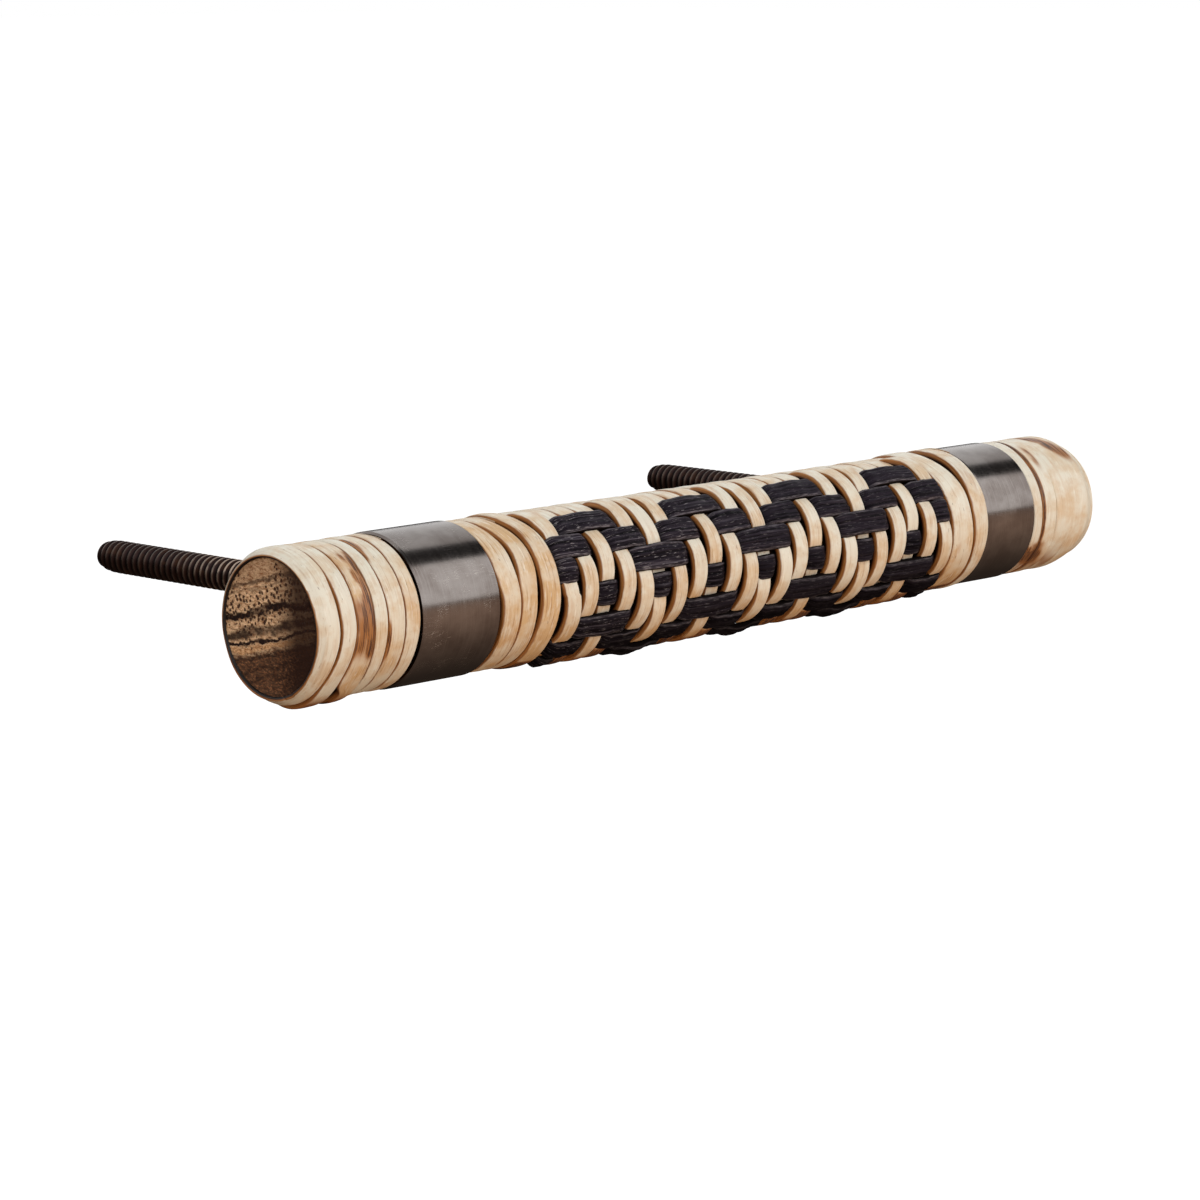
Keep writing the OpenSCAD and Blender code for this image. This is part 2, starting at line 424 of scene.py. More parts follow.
def dyed_material():
    n = Nodes("dyed_cane")
    fibre = n.noise(n.lay(0.085, 3.4), detail=3.0, rough=0.65)
    coarse = n.noise(n.lay(0.045, 1.5, 17.0), detail=1.0)
    # pale fibres and painted highlights are stronger toward the left end
    toward_left = n.step(n.split(n.place())["X"], -24.0, 6.0, 1.0, 0.30)
    colour = n.mix(n.step(fibre, 0.38, 0.54), (0.0016, 0.0008, 0.0020), (0.0165, 0.0124, 0.0186))
    # streaks of pale fibre, partly painted highlight
    streak = n.math("MULTIPLY", n.step(fibre, 0.56, 0.67), toward_left)
    colour = n.mix(streak, colour, (0.0860, 0.0750, 0.0900))
    colour = n.mix(n.step(coarse, 0.52, 0.74, 0.0, 0.4), colour, (0.0270, 0.0220, 0.0290))
    worn = n.noise(n.lay(0.75, 6.5, 5.0), detail=3.0, rough=0.7)
    # pale flecks of frayed fibre, partly painted highlight
    fleck = n.math("MULTIPLY", n.step(worn, 0.58, 0.67), toward_left)
    colour = n.mix(fleck, colour, (0.240, 0.222, 0.228))
    edge = n.mark("edge")
    # painted highlight: a light-catching line along the strip's edges
    lip_highlight = n.math("MULTIPLY", n.step(edge, 0.70, 0.86), n.step(worn, 0.44, 0.60, 0.15, 0.85))
    colour = n.mix(lip_highlight, colour, (0.150, 0.133, 0.145))
    # painted shade: near black at the strip's very edges, in the valleys between rows
    colour = n.mix(n.step(edge, 0.90, 0.97), colour, (0.0030, 0.0012, 0.0010))
    # painted shade: near black where the strip dips under the cane and on the lower rows
    painted_shade = n.mark("painted_shade")
    colour = n.mix(n.math("MULTIPLY", painted_shade, 0.85), colour, (0.0015, 0.0008, 0.0012))
    rough = n.math("ADD", n.step(fibre, 0.30, 0.75, 0.42, 0.60), n.math("MULTIPLY", painted_shade, 0.3))
    height = n.math("ADD", fibre, n.math("MULTIPLY", coarse, 0.7))
    return n.finish(Base_Color=colour, Roughness=rough, Specular_IOR_Level=0.04,
                    Normal=n.bump(height, 0.9, 0.16))


# Dark bands of the end grain: height across the bands, half width, strength.
GRAIN_BANDS = ((5.4, 0.45, 0.65), (4.6, 0.25, 0.35), (2.0, 0.58, 1.0), (-0.1, 0.80, 0.80),
               (-1.25, 0.30, 0.95), (-3.0, 0.30, 0.6), (-4.3, 0.30, 0.5), (-5.4, 0.35, 0.5))


def wood_material():
    """End grain across the handle: wavy dark bands, a pale one and open pores.

    The round side of the core only shows in the gaps of the cane and is painted dark there, as
    shade.
    """
    n = Nodes("core_end_grain")
    where = n.split(n.place())
    back = n.math("SUBTRACT", where["Y"], AXIS_Y)
    wave = n.noise(n.place((0.0, 0.16, 0.30), (3.0, 1.0, 7.0)), detail=2.0)
    fine = n.noise(n.place((0.0, 1.1, 3.0)), detail=5.0, rough=0.75)
    fuzz = n.noise(n.place((0.0, 2.2, 5.0), (1.0, 6.0, 2.0)), detail=3.0, rough=0.7)
    # height across the bands, which rise toward the front
    level = n.math("ADD", where["Z"], n.math("MULTIPLY", back, 0.24))
    ripple = n.noise(n.place((0.0, 0.55, 0.9), (4.0, 2.0, 5.0)), detail=3.0, rough=0.6)
    for noise, reach in ((wave, 2.4), (ripple, 1.2), (fine, 1.0)):
        level = n.math("ADD", level, n.math("MULTIPLY", n.math("SUBTRACT", noise, 0.5), reach))

    def band(middle, half, strength):
        near = n.math("ABSOLUTE", n.math("SUBTRACT", level, middle))
        near = n.step(near, half * 0.3, half, strength, 0.0)
        return n.math("MULTIPLY", near, n.step(ripple, 0.36, 0.55, 0.72, 1.15), clamp=True)

    colour = n.mix(n.step(fine, 0.32, 0.60), (0.330, 0.145, 0.060), (0.880, 0.595, 0.355))
    colour = n.mix(n.step(fuzz, 0.48, 0.64, 0.0, 0.65), colour, (0.170, 0.060, 0.022))
    colour = n.mix(n.step(level, 4.3, 6.0, 0.0, 0.35), colour, (0.150, 0.058, 0.024))
    colour = n.mix(n.step(level, -1.8, -3.2, 0.0, 0.93), colour, (0.034, 0.010, 0.004))
    glow = n.math("MULTIPLY", n.step(level, -2.4, -3.0), n.step(fuzz, 0.47, 0.60, 0.0, 0.80))
    glow = n.math("MULTIPLY", glow, n.step(fine, 0.40, 0.58, 0.25, 1.0))
    colour = n.mix(glow, colour, (0.360, 0.155, 0.070))
    for middle, half, strength in GRAIN_BANDS:
        colour = n.mix(band(middle, half, strength), colour, (0.014, 0.005, 0.003))
    pale = n.mix(n.step(fuzz, 0.36, 0.62), (0.780, 0.480, 0.250), (0.360, 0.165, 0.065))
    colour = n.mix(band(-1.95, 0.50, 0.95), colour, pale)
    # painted shadow: the front part of the end face darkens to near black, shaded by the rim of
    # cane
    front = n.step(n.math("ADD", back, n.math("MULTIPLY", n.math("SUBTRACT", fuzz, 0.5), 5.0)),
                   0.4, -4.6, 0.0, 0.93)
    colour = n.mix(front, colour, (0.022, 0.006, 0.002))
    warp = n.noise(n.place((0.0, 2.5, 2.5)), detail=1.0)
    spot = n.add("ShaderNodeCombineXYZ")
    n.feed(spot.inputs["X"], n.math("ADD", back, n.math("MULTIPLY", warp, 0.45)))
    n.feed(spot.inputs["Y"], n.math("MULTIPLY", where["Z"], 0.9))
    cells = n.dots(spot.outputs[0], scale=1.6, random=0.9, space="2D")
    open_grain = n.noise(n.place((0.0, 0.22, 0.42), (8.0, 3.0, 1.0)), detail=3.0)
    open_grain = n.math("ADD", open_grain, band(2.9, 2.6, 0.22))
    wide = n.step(open_grain, 0.42, 0.66, 0.02, 0.30)
    pore = n.step(n.math("SUBTRACT", cells, wide), -0.08, 0.05, 1.0, 0.0)
    pore = n.math("MULTIPLY", pore, n.step(level, -3.5, -0.5, 0.45, 1.0))
    colour = n.mix(n.math("MULTIPLY", pore, 0.92), colour, (0.040, 0.014, 0.006))
    # painted shade: the core's round side is near black, for the gaps in the cane
    facing = n.split(n.add("ShaderNodeNewGeometry").outputs["Normal"])["X"]
    end = n.step(n.math("ABSOLUTE", facing), 0.4, 0.8)
    colour = n.mix(end, n.mix(fine, (0.018, 0.007, 0.003), (0.060, 0.024, 0.010)), colour)
    rough = n.step(fine, 0.3, 0.7, 0.58, 0.8)
    height = n.math("SUBTRACT", n.math("MULTIPLY", fine, 0.6), pore)
    return n.finish(Base_Color=colour, Roughness=rough, Specular_IOR_Level=0.15,
                    Normal=n.bump(height, 0.9, 0.18))


def ferrule_material():
    n = Nodes("browned_metal")
    lines = n.noise(n.place((7.0, 0.12, 0.12)), detail=3.0, rough=0.7)
    cloud = n.noise(n.place((0.20, 0.25, 0.25), (2.0, 5.0, 1.0)), detail=4.0, rough=0.6)
    colour = n.mix(n.step(cloud, 0.30, 0.70), (0.128, 0.106, 0.096), (0.205, 0.182, 0.170))
    colour = n.mix(n.step(lines, 0.45, 0.75, 0.0, 0.45), colour, (0.270, 0.250, 0.235))
    specks = n.dots(n.place(shift=(0.3, 0.1, 0.7)), scale=1.5)
    where = n.noise(n.place((0.28, 0.35, 0.35), (7.0, 0.0, 4.0)), detail=2.0)
    speck = n.math("MULTIPLY", n.step(specks, 0.06, 0.14, 1.0, 0.0), n.step(where, 0.56, 0.66))
    scratch = n.noise(n.place((0.35, 2.6, 2.6), (1.0, 2.0, 3.0)), detail=1.0, distort=1.2)
    scratch = n.step(n.math("ABSOLUTE", n.math("SUBTRACT", scratch, 0.5)), 0.004, 0.012, 1.0, 0.0)
    scratch = n.math("MULTIPLY", scratch, n.step(where, 0.50, 0.62))
    # the right ferrule is less scratched
    along = n.split(n.place())["X"]
    worn = n.math("MAXIMUM", speck, scratch)
    worn = n.math("MULTIPLY", worn, n.step(along, -20.0, 20.0, 1.0, 0.12))
    colour = n.mix(n.math("MULTIPLY", worn, 0.6), colour, (0.480, 0.440, 0.400))
    rough = n.step(lines, 0.30, 0.70, 0.15, 0.23)
    rough = n.math("ADD", rough, n.math("MULTIPLY", worn, 0.3))
    height = n.math("ADD", lines, n.math("MULTIPLY", cloud, 0.4))
    return n.finish(Base_Color=colour, Metallic=1.0, Roughness=rough,
                    Normal=n.bump(height, 0.10, 0.02))


def stud_material():
    n = Nodes("stud_metal")
    crest = n.mark("crest")
    cloud = n.noise(n.place((0.7, 0.5, 0.7)), detail=3.0)
    base = n.mix(n.step(crest, 0.3, 0.95), (0.0030, 0.0009, 0.0009), (0.024, 0.0118, 0.0105))
    base = n.mix(n.step(cloud, 0.50, 0.75, 0.0, 0.4), base, (0.060, 0.024, 0.010))
    # the crests are painted bright near the handle: partly worn bare metal, partly painted
    # highlight
    near = n.step(n.split(n.place())["Y"], 34.0, 2.0, 0.06, 0.95)
    worn = n.math("MULTIPLY", n.step(crest, 0.84, 0.98), n.step(cloud, 0.36, 0.56, 0.35, 1.0))
    colour = n.mix(n.math("MULTIPLY", worn, near), base, (0.950, 0.740, 0.580))
    rough = n.step(cloud, 0.3, 0.7, 0.34, 0.50)
    return n.finish(Base_Color=colour, Metallic=0.9, Roughness=rough,
                    Normal=n.bump(cloud, 0.3, 0.05))


CANE = cane_material()
DYED = dyed_material()
WOOD = wood_material()
FERRULE = ferrule_material()
STUD = stud_material()


# ---- plain windings -------------------------------------------------------------------


def even(value):
    return lambda turn, angle: value + 0.0 * (turn + angle)


def wound(name, edges, gap, node, seed, tan, lift=even(0.0), merge=even(0.0), sway=even(0.0),
          **looks):
    """A strand wound between the first and last of edges, turn against turn.

    edges are the borders of the turns at the front. Each turn lies square to the
    handle at the front and moves on to the next place at the back, where the first
    and last turns run out in a wedge. gap opens to the left of a turn. sway shifts
    a border, counted from 0, by some mm at each angle.
    """
    edges = np.asarray(edges, float)
    turns = len(edges) - 1
    # the ends lie 0.80 of a turn before the first front and after the last
    tau = np.arange(-0.80, turns - 0.20, TURN_STEP / 360)
    turn = np.round(tau)
    part = tau - turn
    angle = -360.0 * part
    wind = turn + np.sign(part) * 0.5 * smooth((np.abs(part) - 0.16) / 0.34)
    front = smooth((150 - np.abs(angle)) / 50)

    def border(s):
        at = np.interp(s, np.arange(turns + 1), edges)
        return at + front * sway(np.clip(s, 0, turns), angle)

    left = border(wind)
    opening = BACK_GAP + front * (gap(turn, angle) - BACK_GAP)
    left = np.where((wind > 0.001) | (turns == 1), left + opening, left)
    right = np.maximum(border(wind + 1), left + 0.05)
    return lay_cane(name, tau, left, right, LAY_R + lift(turn, angle), node, seed, tan,
                    merge=merge(turn, angle), **looks)


# ---- the middle winding and the dyed strips -------------------------------------------


def strip_over(row, turn):
    """1 where the dyed strip of a row shows over a turn of cane."""
    if turn < 0 or turn >= PATTERN_TURNS:
        return 0
    return WEAVE[row % 4][turn % 6]


def between(at, up, where):
    """Smooth steps through the heights up, given at the places at."""
    i = np.clip(np.searchsorted(at, where) - 1, 0, len(at) - 2)
    t = (where - at[i]) / (at[i + 1] - at[i])
    return up[i] + (up[i + 1] - up[i]) * smooth(t)


def woven_lift(turn, angle):
    """How far one turn of cane stands off the core at each angle, as 0 to 1.

    It bows out over each run of rows whose strips lie under it. A run reaches from
    inside the lower edge of the strip above to inside the upper edge of the next.
    """
    inside, past_weave = 5.0, 30.0  # degrees
    under = [not strip_over(row, turn) for row in range(len(ROW_ANGLES))] + [False]
    lift = np.zeros_like(angle)
    first = None
    for row, up in enumerate(under):
        if up and first is None:
            first = row
        elif not up and first is not None:
            top = ROW_ANGLES[first - 1] - inside if first else ROW_ANGLES[0] + past_weave
            bottom = (ROW_ANGLES[row] + inside if row < len(ROW_ANGLES)
                      else ROW_ANGLES[-1] - past_weave)
            t = np.clip((top - angle) / (top - bottom), 0.0, 1.0)
            peak = 1.0 + 0.10 * min(row - first - 1, 2)
            lift = np.maximum(lift, peak * np.sin(math.pi * t ** 0.92) ** 0.68)
            first = None
    return lift


def weave_sway(tau, angle):
    """How far the turns of the weave slip left toward the bottom, in mm."""
    inside = smooth((tau + 0.2) / 0.6) * smooth((PATTERN_TURNS - tau) / 3.0)
    return -0.85 * inside * smooth((32 - angle) / 92) * smooth((angle + 165) / 70)


def middle_winding():
    """The strand between the ferrules, plain at the back and woven at the front."""
    lo, hi = WEAVE_SPAN
    tau = np.arange(-1.65, PATTERN_TURNS + 0.65, WEAVE_STEP / 360)
    turn = np.round(tau).astype(int)
    angle = -360.0 * (tau - turn)
    middle = FIRST_TURN + PITCH * tau
    grain = Grain(11)
    woven = smooth((ROW_ANGLES[0] + 22 - angle) / 16) * smooth((angle - ROW_ANGLES[-1] + 22) / 16)
    woven = woven * smooth((tau + 0.9) / 0.5) * smooth((PATTERN_TURNS - 0.1 - tau) / 0.5)
    width = (PITCH - PLAIN_GAP) * (1 - woven) + WOVEN_W * woven
    width = width * (1 + 0.03 * grain(tau * 3.0, 5))
    middle = middle + woven * 0.17 * grain(tau * 3.0, 9) + weave_sway(tau, angle)
    # the first turn leans left over the top, the last runs square up to the next winding
    first = smooth((-0.6 - tau) / 0.2)
    lean = 1.1 * smooth((angle - 45) / 45) * smooth((150 - angle) / 50)
    lean = lean + 0.95 * smooth((15 - angle) / 60) * smooth((angle + 150) / 50)
    sliver = (np.abs(tau) < 0.5) * 0.5 * smooth((angle - 48) / 12) * smooth((150 - angle) / 30)
    late = smooth((tau - PATTERN_TURNS + 4.5) / 4.0)
    over = late * 1.3 * smooth((angle - 38) / 50) * smooth((138 - angle) / 45)
    left = np.maximum(middle - width / 2 - sliver, lo) - first * np.minimum(lean, 0.9) - over
    right = middle + width / 2 - first * lean - over
    last = smooth((tau - PATTERN_TURNS + 0.55) / 0.15)
    open_end = 0.22 + 2.2 * smooth((angle - 26) / 62) * smooth((132 - angle) / 36)
    open_end = open_end - 0.9 * smooth((20 - angle) / 80) * smooth((angle + 170) / 40)
    right = right * (1 - last) + (hi - open_end) * last
    left = np.maximum(np.minimum(left, hi - 1.2), lo - 0.9)
    lift = np.zeros_like(tau)
    for k in range(PATTERN_TURNS):
        here = turn == k
        lift[here] = woven_lift(k, angle[here])
    border = smooth((tau + 1.5) / 0.3) * smooth((-0.45 - tau) / 0.3)
    border += smooth((tau - PATTERN_TURNS + 0.5) / 0.3)
    inner = LAY_R + CANE_LIFT * lift + 0.36 * border

    def tan(turn, angle):
        # painted shade: the cane turns orange toward the bottom, for the warm dim light underneath
        painted_low_shade = smooth((ROW_ANGLES[3] - angle) / 60) * smooth((angle + 178) / 80)
        return np.where(turn < 0, 0.62, 0.22) + 0.55 * painted_low_shade

    # painted shade: the outer turns of the last row darken toward the bottom of the weave
    def shade(turn, angle, u):
        strong = np.where(turn % 6 == 2, 0.40, 1.15)
        return strong * smooth((-56 - angle) / 9) * smooth((angle + 130) / 50) + 0 * u

    return lay_cane("centre_cane", tau, left, right, inner, "centre_winding", 21, tan, shade)


def strip_profile(row, x):
    """How far a dyed strip stands off the core along the handle, as 0 to 1.

    Where it passes over several turns at once it bows outward, most of all underneath.
    """
    flat = 0.45  # half of the length that stays level at each turn
    bow = 0.16 if row < 5 else 0.38
    buried = -0.45
    knots = []
    for k in range(-1, PATTERN_TURNS + 1):
        at = FIRST_TURN + PITCH * k - PITCH * ROW_ANGLES[row] / 360
        at += float(weave_sway(k, ROW_ANGLES[row]))
        up = buried
        if 0 <= k < PATTERN_TURNS:
            up = float(strip_over(row, k))
            if up and strip_over(row, k - 1) and strip_over(row, k + 1):
                up += bow
        if up > 0 and knots[-1][1] == up == 1.0:
            knots.append((at - PITCH / 2, TWO_TURN_BOW))
        knots += [(at - flat, up), (at + flat, up)]
    at, up = np.array(knots).T
    return between(at, up, x)


def dyed_strip(row):
    """One dyed strip: a ribbed, fibrous band that dips under the cane and rises over it."""
    grain = Grain(100 + row)
    lo, hi = WEAVE_SPAN
    x = np.arange(lo + 0.4, hi - 0.5, 0.22)
    lift = strip_profile(row, x)
    top = np.linspace(-0.5, 0.5, 37)
    sides = [(-0.5, 0.0), (-0.505, 0.3)]
    u = np.concatenate([[s[0] for s in sides], top, [-s[0] for s in sides[::-1]]])
    body = 1 - 0.20 * (2 * np.abs(top)) ** 2.4 - 0.30 * (2 * np.abs(top)) ** 12
    body = np.concatenate([[s[1] for s in sides], body, [0.2, 0.0]])
    is_top = np.concatenate([[0, 0], np.ones(len(top)), [0, 0]])
    wander = 0.5 * grain(x / 13.0, 2)[:, None]
    ridge = grain(x[:, None] / 18.0, u[None] * 6.5 + wander + 30)
    fibre = grain(x[:, None] / 9.0, u[None] * 18 + 60)
    height = STRIP_T * body[None] + is_top[None] * (0.10 * ridge + 0.035 * fibre)
    width = STRIP_W * (1 + 0.05 * grain(x / 4.0, 7)) * (0.93 + 0.07 * np.clip(lift, 0, 1))
    ragged = 0.03 * grain(x[:, None] / 1.6, 15 + np.sign(u)[None])
    half = np.degrees((width[:, None] / 2 + ragged) / STRIP_MID_R)
    angle = ROW_ANGLES[row] + u[None] * 2 * half + 0.8 * grain(x / 9.0, 20)[:, None]
    r = LAY_R + STRIP_LIFT * lift[:, None] + height
    pts = place(x[:, None] + 0 * angle, angle, r)
    across = np.concatenate([[0], np.cumsum(np.hypot(np.diff(u) * STRIP_W, np.diff(body)))])
    # painted shade where a strip dips under the cane
    buried = smooth(1.0 - np.clip(lift, 0, 1) / 0.85)[:, None]
    # painted shade: the lower strips are darkened, for the dim light from below
    low = 0.45 * smooth((12 - angle) / 14) + 0.42 * smooth((-36 - angle) / 12)
    marks = {"edge": np.abs(2 * u)[None] + 0 * r, "painted_shade": np.maximum(buried, low) + 0 * r}
    return grid_mesh(f"dyed_strip_{row + 1}", pts, x[:, None] + 0 * r,
                     across[None] + 20.0 * row + 0 * r, marks, DYED,
                     [f"black_strip_{row + 1}"])


# ---- the studs themselves -------------------------------------------------------------


def threaded_stud(side):
    """A stud with a real helical thread and a rounded tip."""
    rings = np.arange(STUD_START, STUD_TIP + 1e-6, THREAD_PITCH / 16)
    rings = np.append(rings, STUD_TIP)
    around = np.linspace(0, 2 * math.pi, 41)[:-1]
    phase = (rings[:, None] / THREAD_PITCH - around[None] / (2 * math.pi)) % 1.0
    # narrow crest, straight flanks, wider root
    crest = np.clip((0.5 - np.abs(phase - 0.5)) / 0.40, 0, 1)
    crest = 0.7 * crest + 0.3 * smooth(crest)
    full = STUD_R - THREAD_DEPTH * (1 - crest)
    along = np.clip((STUD_TIP - rings[:, None]) / TIP_DOME, 0, 1)
    eased = TIP_R + (STUD_R - TIP_R) * np.sqrt(1 - (1 - along) ** 2)
    r = full * eased / STUD_R
    x = STUD_X[side] + r * np.cos(around)[None]
    z = r * np.sin(around)[None]
    pts = np.stack([x, rings[:, None] + 0 * r, z], -1)
    return grid_mesh(f"{side}_threaded_stud", pts, rings[:, None] + 0 * r,
                     (around * STUD_R)[None] + 0 * r, {"crest": crest},
                     STUD, [f"{side}_stud"])


# ---- build ----------------------------------------------------------------------------


def left_end_lift(turn, angle):
    """The second and third turns stand proud underneath."""
    low = bell(angle, -88.0, 62.0)
    return np.where((turn == 1) | (turn == 2), 0.55 * low, 0.0) + np.where(turn == 0, 0.0, 0.03)


def left_end_stain(turn, angle, u):
    """The third turn is stained brown down its front, darkest at its right edge."""
    grain = Grain(5)
    spots = 0.62 + 0.75 * grain(angle / 10.0, u * 7.0)
    upper = smooth((68 - angle) / 10) * smooth((angle - 18) / 8) * smooth((u + 0.15) / 0.35)
    lower = smooth((28 - angle) / 12) * smooth((angle + 30) / 20) * (0.45 + 0.55 * smooth(u / 0.4))
    third = (turn == 2) * np.clip(1.2 * upper * spots + 1.05 * lower * (0.6 + 0.4 * spots), 0, 1)
    knots = (turn == 4) * smooth((-0.25 - u) / 0.2) * bell(angle, 68, 24) * (0.5 + spots)
    low = (turn == 4) * smooth((-0.3 - u) / 0.15) * bell(angle, -12, 22)
    under = bell(angle, -82, 34) * ((turn == 1) | (turn == 2)) * 0.6
    return third + knots + 0.9 * low + under


def left_end_tint(turn, angle):
    return np.choose(np.clip(turn, 0, 5).astype(int), (0.0, 0.15, 0.5, 0.1, 0.25, 0.35))


def left_end_merge(turn, angle):
    """The first turn closes up with its neighbours over the top."""
    return np.where(turn < 1, smooth((angle - 35) / 15), 0.0)


def left_end_gap(turn, angle):
    first = np.where(turn == 1, 1.0, 0.0)
    second = np.where(turn == 2, 1.0, 0.0)
    wide = 0.26 * bell(angle, -14, 50)
    under = smooth((-44 - angle) / 18) * smooth((angle + 150) / 40)
    return 0.14 + first * wide + second * 1.5 * under


def left_end_sway(border, angle):
    """How far each border slips left toward the bottom."""
    slip = np.interp(border, range(7), (0.0, 1.05, 0.90, 0.10, 0.30, 0.15, 0.35))
    return -slip * smooth((8 - angle) / 62) - (border > 5.5) * 0.3 * bell(angle, 88, 20)


def left_binding_gap(turn, angle):
    return 0.16 + 0.40 * (turn == 1) * bell(angle, 42, 34)


def left_binding_tint(turn, angle):
    return np.where(turn > 0, 0.6, 0.45) + 0 * angle


def binding_sway(border, angle):
    """The turns beside the weave lean left over the top, away from the next one."""
    top = smooth((angle - 34) / 58)
    low = smooth((30 - angle) / 30)
    return (np.interp(border, (0, 1, 2), (0.55, 0.15, 0.0)) * low
            - np.interp(border, (0, 1, 2), (0.0, 1.0, 1.0)) * top
            - (border > 1.5) * (0.12 + 0.28 * bell(angle, 78, 34) + 0.42 * low))


def right_binding_gap(turn, angle):
    """The single turn leans right toward the bottom, and starts off the weave over the top."""
    return 0.12 + 0.9 * smooth((20 - angle) / 80) + 0.12 * bell(angle, 60, 30)


def end_round_left(x, angle):
    return 0.66 * smooth(1 - (x - LEFT_END) / 1.5) ** 1.5


def end_round_right(x, angle):
    low = smooth((-20 - angle) / 40) * smooth((angle + 150) / 40)
    return 0.94 * smooth(1 - (RIGHT_END - x) / (3.0 + 1.8 * low)) ** (1.4 - 0.3 * low)


def right_end_gap(turn, angle):
    """Only the first groove is open. The other turns overlap a little."""
    return np.where(turn == 1, 0.26 + 0.10 * smooth((angle - 40) / 30), -0.12)


def right_end_tint(turn, angle):
    return np.where(turn == 0, 0.1, 0.25) + 0 * angle


def right_end_merge(turn, angle):
    return np.where(turn > 0, 1.0, 0.2) + 0 * angle


def right_end_sway(border, angle):
    """The only open groove leans right over the top."""
    return (np.abs(border - 1) < 0.5) * (0.9 * smooth((angle - 45) / 50) + 0.15)


def right_end_stain(turn, angle, u):
    """Brown down the first groove, in a knot below it and in a twist at the far top."""
    grain = Grain(8)
    spots = 0.75 + 0.5 * grain(angle / 8.0, u * 3.0 + turn)
    groove = (turn == 1) * smooth((-0.34 - u) / 0.10) * (0.8 + 0.2 * bell(angle, 60, 40))
    knot = ((turn == 1) * smooth((0.15 - u) / 0.5) + (turn == 0) * 0.8) * bell(angle, -36, 15) * 1.1
    low = (turn < 3) * 0.30 * bell(angle, -56, 34)
    smear = (turn == 1) * bell(u, 0.10, 0.26) * bell(angle, 56, 26) * 0.55
    twist = bell(turn + u, 2.65 + 0.021 * (84 - angle), 0.62) * bell(angle, 70, 34) * 1.2
    twist = twist + bell(turn + u, 2.7, 0.40) * bell(angle, 82, 11) * 0.7
    return (groove + knot + low + smear + twist) * spots


wound("left_end_cane", (LEFT_END, -65.75, -63.4, -60.85, -58.95, -56.35, LEFT_BAND[0] - 0.40),
      left_end_gap, "left_end_winding", 31, left_end_tint, lift=left_end_lift,
      stain=left_end_stain, round_end=end_round_left, sway=left_end_sway, merge=left_end_merge)
wound("left_binding_cane", (LEFT_BAND[1] + 0.12, -39.0, WEAVE_SPAN[0] - 0.04), left_binding_gap,
      "left_binding", 32, left_binding_tint, sway=binding_sway)
wound("right_binding_cane", (WEAVE_SPAN[1] + 0.12, RIGHT_BAND[0] - 0.05), right_binding_gap,
      "right_binding", 33, even(0.20), lift=even(0.33))
wound("right_end_cane", (RIGHT_BAND[1] + 0.10, 54.5, 57.6, 60.7, 63.6, RIGHT_END),
      right_end_gap, "right_end_winding", 34, right_end_tint, stain=right_end_stain,
      round_end=end_round_right, sway=right_end_sway, merge=right_end_merge)
middle_winding()
for row in range(len(ROW_ANGLES)):
    dyed_strip(row)
for side in ("left", "right"):
    threaded_stud(side)

# the core and the ferrules keep their CAD shape
for node, material in (("core_rod", WOOD), ("left_ferrule", FERRULE), ("right_ferrule", FERRULE)):
    for material_slot in frame["nodes"][node].material_slots:
        material_slot.material = material


# ---- camera, floor and light ----------------------------------------------------------


LENS, SENSOR = 113.4, 36.0  # mm
CAMERA_AT = (-0.3280, -0.3187, 0.0695)  # m
# degrees: right of straight ahead, down from level, and tilt about the line of sight
CAMERA_TURN, CAMERA_DROP, CAMERA_ROLL = 45.049, 9.418, -0.445
FLOOR_HALF, FLOOR_Z = 40.0, -0.45  # m


def camera():
    data = bpy.data.cameras.new("camera")
    data.sensor_width = SENSOR
    data.lens = LENS
    cam = bpy.data.objects.new("camera", data)
    bpy.context.collection.objects.link(cam)
    azimuth, drop = math.radians(CAMERA_TURN), math.radians(CAMERA_DROP)
    ahead = Vector((math.sin(azimuth) * math.cos(drop), math.cos(azimuth) * math.cos(drop),
                    -math.sin(drop)))
    turn = ahead.to_track_quat("-Z", "Y").to_matrix().to_4x4()
    cam.matrix_world = (Matrix.Translation(Vector(CAMERA_AT)) @ turn
                        @ Matrix.Rotation(math.radians(CAMERA_ROLL), 4, "Z"))
    data.clip_start, data.clip_end = 0.01, 100.0
    bpy.context.scene.camera = cam


def floor():
    mesh = bpy.data.meshes.new("floor")
    corners = [(a * FLOOR_HALF, b * FLOOR_HALF, FLOOR_Z)
               for a, b in ((-1, -1), (1, -1), (1, 1), (-1, 1))]
    mesh.from_pydata(corners, [], [(0, 1, 2, 3)])
    plane = bpy.data.objects.new("floor", mesh)
    bpy.context.collection.objects.link(plane)
    n = Nodes("pale_floor")
    mesh.materials.append(n.finish(Base_Color=(0.9, 0.9, 0.9), Roughness=0.9,
                                   Emission_Color=(1.0, 1.0, 1.0), Emission_Strength=1.0))
    plane.visible_glossy = False
    plane.visible_diffuse = False


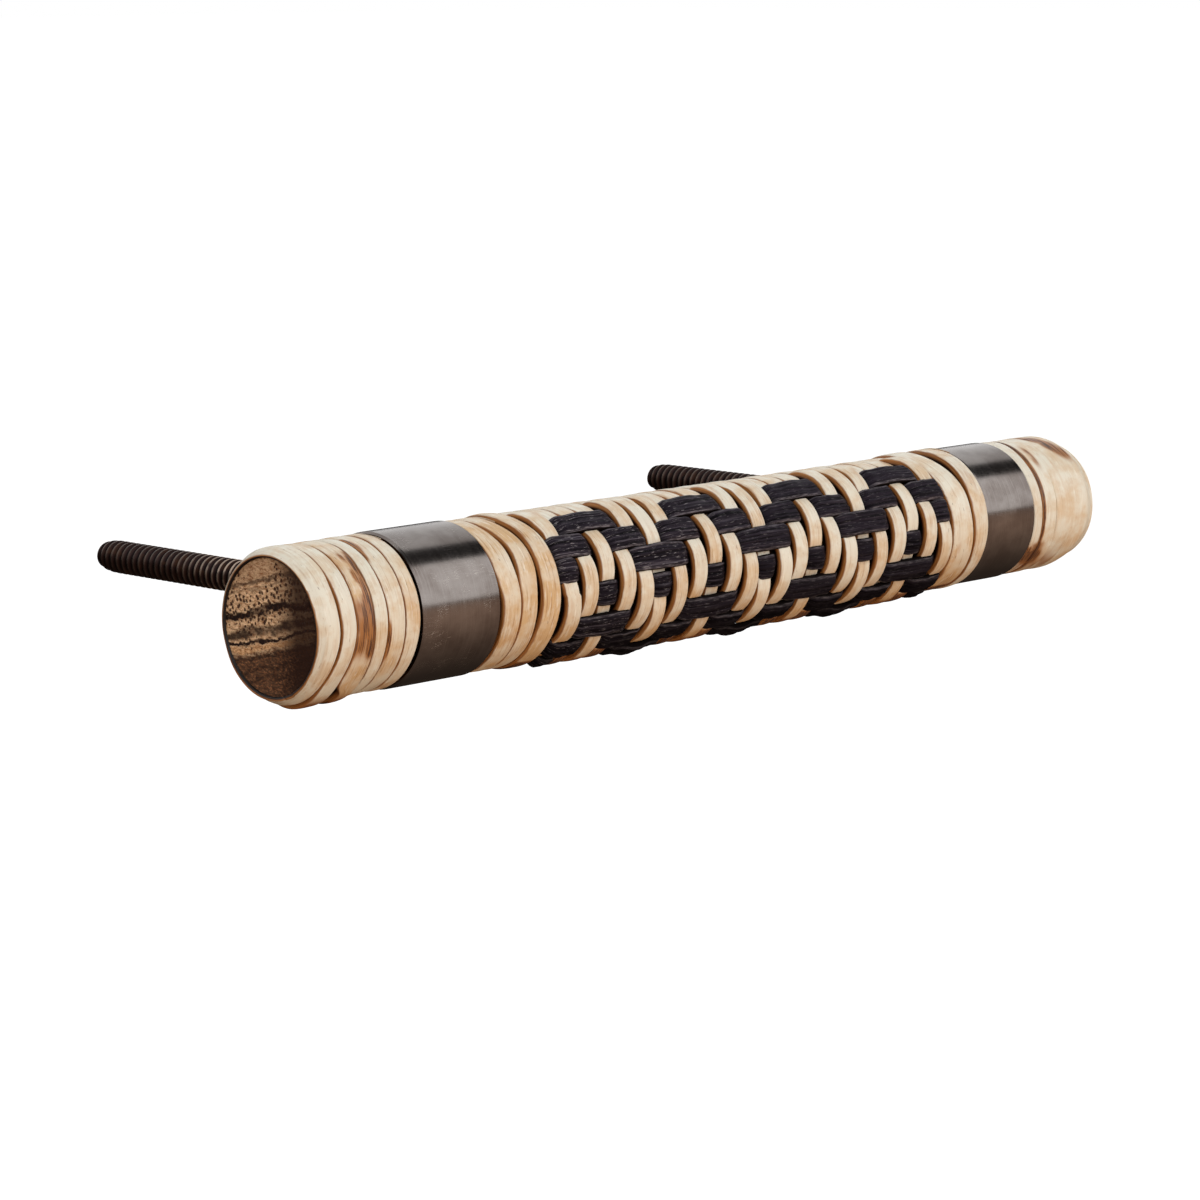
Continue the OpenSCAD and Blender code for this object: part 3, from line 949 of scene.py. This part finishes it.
def panel(name, low_deg, high_deg, distance, x_range, level, colour=(1.0, 1.0, 1.0)):
    """A soft panel whose long edges run along the handle.

    It fills the arc from low_deg to high_deg, counted from the front over the top, and
    looks as bright as level times a white page in full light.
    """
    a, b = (np.radians(d) for d in (low_deg, high_deg))
    low = Vector((0, -math.cos(a), math.sin(a))) * distance
    high = Vector((0, -math.cos(b), math.sin(b))) * distance
    up = high - low
    light = bpy.data.lights.new(name, "AREA")
    light.shape = "RECTANGLE"
    light.size, light.size_y = x_range[1] - x_range[0], up.length
    light.energy = level * math.pi * light.size * light.size_y
    light.color = colour
    lamp = bpy.data.objects.new(name, light)
    bpy.context.collection.objects.link(lamp)
    up.normalize()
    facing = Vector((1, 0, 0)).cross(up)
    if facing.dot((low + high) / 2) < 0:
        facing = -facing
    side = up.cross(facing)
    basis = Matrix((side, up, facing)).transposed().to_4x4()
    middle = (low + high) / 2 + Vector((sum(x_range) / 2, AXIS_Y * MM, 0))
    lamp.matrix_world = Matrix.Translation(middle) @ basis
    return lamp


# Brightness of the room all round the handle, by angle from the front over the top.
# In front and a little below lies a warm table. It is dark behind and below, and in a
# slot between the two softboxes.
ROOM = ((-180, 0.02), (-133, 0.03), (-113, 0.05), (-93, 0.10), (-73, 0.18), (-53, 0.28),
        (-33, 0.44), (-13, 0.56), (0, 0.50), (8, 0.14), (60, 0.12), (70, 0.03), (90, 0.03),
        (98, 0.12), (172, 0.14), (180, 0.05))
ROOM_WARMTH = (1.28, 0.90, 0.68)  # tint of everything below the front


def world():
    """The room's light, and plain white wherever the camera looks past the floor."""
    w = bpy.data.worlds.new("room")
    w.use_nodes = True
    bpy.context.scene.world = w
    tree = w.node_tree
    tree.nodes.clear()

    def maths(op, a, b):
        node = add_node(tree, "ShaderNodeMath", operation=op)
        for socket, value in zip(node.inputs, (a, b)):
            feed_socket(tree, socket, value)
        return node.outputs[0]

    split = add_node(tree, "ShaderNodeSeparateXYZ")
    tree.links.new(add_node(tree, "ShaderNodeTexCoord").outputs["Generated"], split.inputs[0])
    turn = maths("ARCTAN2", split.outputs["Z"], maths("MULTIPLY", split.outputs["Y"], -1.0))
    turn = maths("ADD", maths("DIVIDE", turn, 2 * math.pi), 0.5)
    ramp = add_node(tree, "ShaderNodeValToRGB")
    ramp.color_ramp.elements.remove(ramp.color_ramp.elements[1])
    for i, (angle, level) in enumerate(ROOM):
        at = angle / 360 + 0.5
        stop = ramp.color_ramp.elements[0] if i == 0 else ramp.color_ramp.elements.new(at)
        stop.position = at
        tint = ROOM_WARMTH if angle < 5 else (1.0, 1.0, 1.0)
        stop.color = (*(level * part for part in tint), 1)
    tree.links.new(turn, ramp.inputs["Fac"])
    room = add_node(tree, "ShaderNodeBackground")
    tree.links.new(ramp.outputs["Color"], room.inputs["Color"])
    white = add_node(tree, "ShaderNodeBackground")
    white.inputs["Color"].default_value = (1, 1, 1, 1)
    seen = add_node(tree, "ShaderNodeLightPath").outputs["Is Camera Ray"]
    choose = add_node(tree, "ShaderNodeMixShader")
    tree.links.new(seen, choose.inputs["Fac"])
    tree.links.new(room.outputs[0], choose.inputs[1])
    tree.links.new(white.outputs[0], choose.inputs[2])
    tree.links.new(choose.outputs[0], add_node(tree, "ShaderNodeOutputWorld").inputs["Surface"])


camera()
floor()
world()
panel("front_softbox", 7.0, 67.5, 0.70, (-1.6, 1.5), 1.70)
panel("rear_softbox", 97.0, 168.0, 0.80, (-1.6, 1.6), 1.0)
fill = panel("table_bounce", -72.0, -18.0, 0.70, (-1.2, 1.2), 0.62, (1.0, 0.70, 0.42))
fill.visible_glossy = False
bpy.context.scene.view_settings.view_transform = "Standard"
